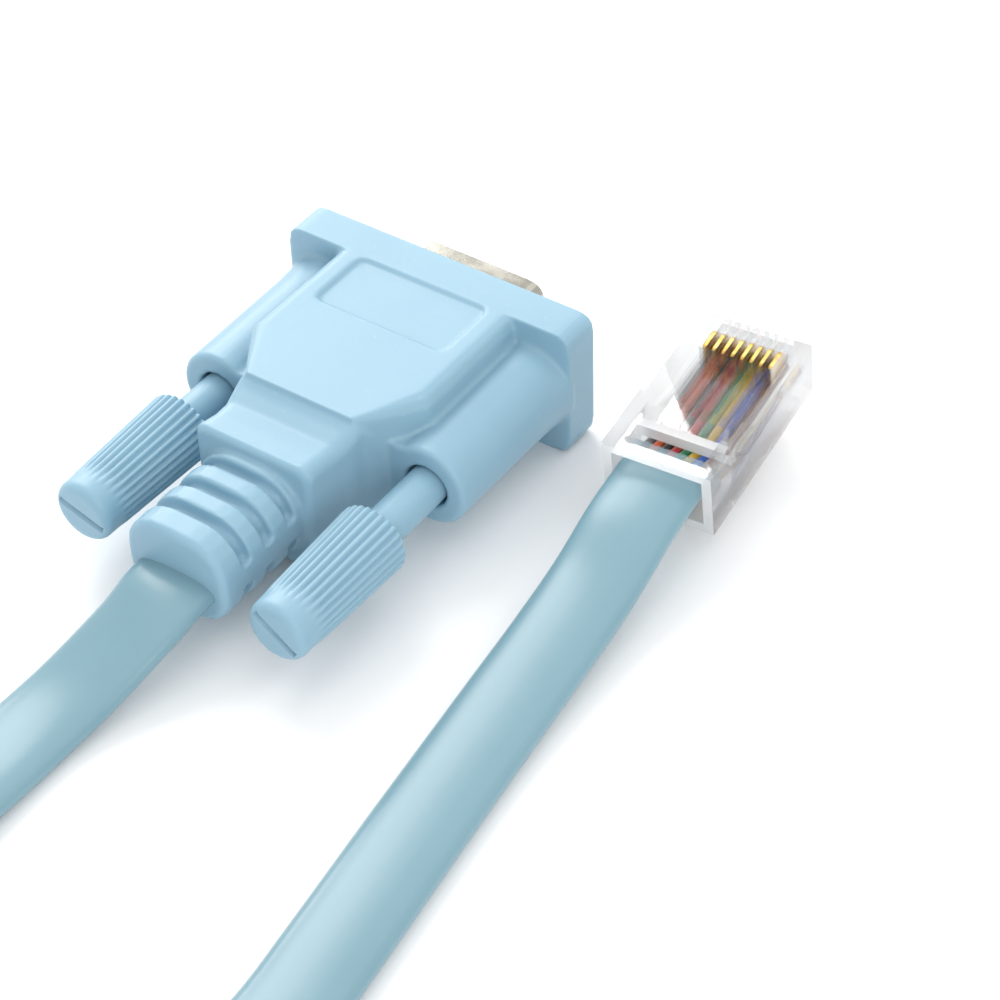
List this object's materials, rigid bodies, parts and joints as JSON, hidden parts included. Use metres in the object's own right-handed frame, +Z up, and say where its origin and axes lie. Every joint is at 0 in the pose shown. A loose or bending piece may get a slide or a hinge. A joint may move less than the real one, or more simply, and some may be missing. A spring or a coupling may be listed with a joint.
{
  "type": "console cable",
  "caption": "Pale blue console cable: moulded D-sub hood with captive thumbscrews and ribbed boot, flat cable in a tied hank, clear modular plug on the other end.",
  "frame": {"origin": "Under the middle of the D-sub hood and its thumbscrews, on the surface they lie on: the bottom centre of the box round every node that isn't on the free cable.", "axes": "+X across the hood from screw to screw, +Y the way the D-sub mates, +Z up from the surface; the wide side of the D faces up."},
  "size_m": [0.063, 0.2439, 0.0149],
  "materials": {
    "hood_blue": "satin moulded plastic, pale blue",
    "knob_blue": "satin moulded plastic, pale blue",
    "plated_steel": "bright tin-plated steel",
    "black_insulator": "matte black",
    "gold_plate": "bright gold plating",
    "screw_steel": "plated steel",
    "cable_jacket": "satin flexible PVC, pale blue",
    "tie_black": "plain black strap",
    "clear_polycarbonate": "clear, glossy",
    "wire_grey": "thin wire insulation",
    "wire_orange": "thin wire insulation",
    "wire_black": "thin wire insulation",
    "wire_red": "thin wire insulation",
    "wire_green": "thin wire insulation",
    "wire_yellow": "thin wire insulation",
    "wire_blue": "thin wire insulation",
    "wire_brown": "thin wire insulation"
  },
  "bodies": {
    "connector_and_cable": {"hood": "hood_blue", "dsub_shell": "plated_steel", "dsub_insulator": "black_insulator", "cable_from_hood": "cable_jacket", "cable_coil": "cable_jacket", "cable_to_plug": "cable_jacket", "coil_tie": "tie_black", "rj45_housing": "clear_polycarbonate", "socket_1": "gold_plate", "socket_2": "gold_plate", "socket_3": "gold_plate", "socket_4": "gold_plate", "socket_5": "gold_plate", "socket_6": "gold_plate", "socket_7": "gold_plate", "socket_8": "gold_plate", "socket_9": "gold_plate", "contact_1": "gold_plate", "wire_1": "wire_grey", "contact_2": "gold_plate", "wire_2": "wire_orange", "contact_3": "gold_plate", "wire_3": "wire_black", "contact_4": "gold_plate", "wire_4": "wire_red", "contact_5": "gold_plate", "wire_5": "wire_green", "contact_6": "gold_plate", "wire_6": "wire_yellow", "contact_7": "gold_plate", "wire_7": "wire_blue", "contact_8": "gold_plate", "wire_8": "wire_brown"},
    "left_screw": {"screw_left": "screw_steel"},
    "left_thumbscrew": {"thumbscrew_left": "knob_blue"},
    "right_screw": {"screw_right": "screw_steel"},
    "right_thumbscrew": {"thumbscrew_right": "knob_blue"},
    "latch": {"rj45_latch": "clear_polycarbonate"}
  },
  "joints": [
    {"name": "left_screw_slide", "type": "slide", "parent": "connector_and_cable", "child": "left_screw", "axis": [0, 1, 0], "range_m": [-0.0029, 0.0053]},
    {"name": "left_thumbscrew_turn", "type": "hinge", "parent": "left_screw", "child": "left_thumbscrew", "pos_m": [-0.01249, 0, 0.0074], "axis": [0, 1, 0], "continuous": true},
    {"name": "right_screw_slide", "type": "slide", "parent": "connector_and_cable", "child": "right_screw", "axis": [0, 1, 0], "range_m": [-0.0004, 0.0078]},
    {"name": "right_thumbscrew_turn", "type": "hinge", "parent": "right_screw", "child": "right_thumbscrew", "pos_m": [0.01249, 0, 0.0074], "axis": [0, 1, 0], "continuous": true},
    {"name": "latch_flex", "type": "hinge", "parent": "connector_and_cable", "child": "latch", "pos_m": [0.02898, 0.0313, 0.00411], "axis": [0.9974, 0.0672, 0.0243], "range_deg": [-4.5, 0], "stiffness_Nm_per_rad": 0.6}
  ]
}
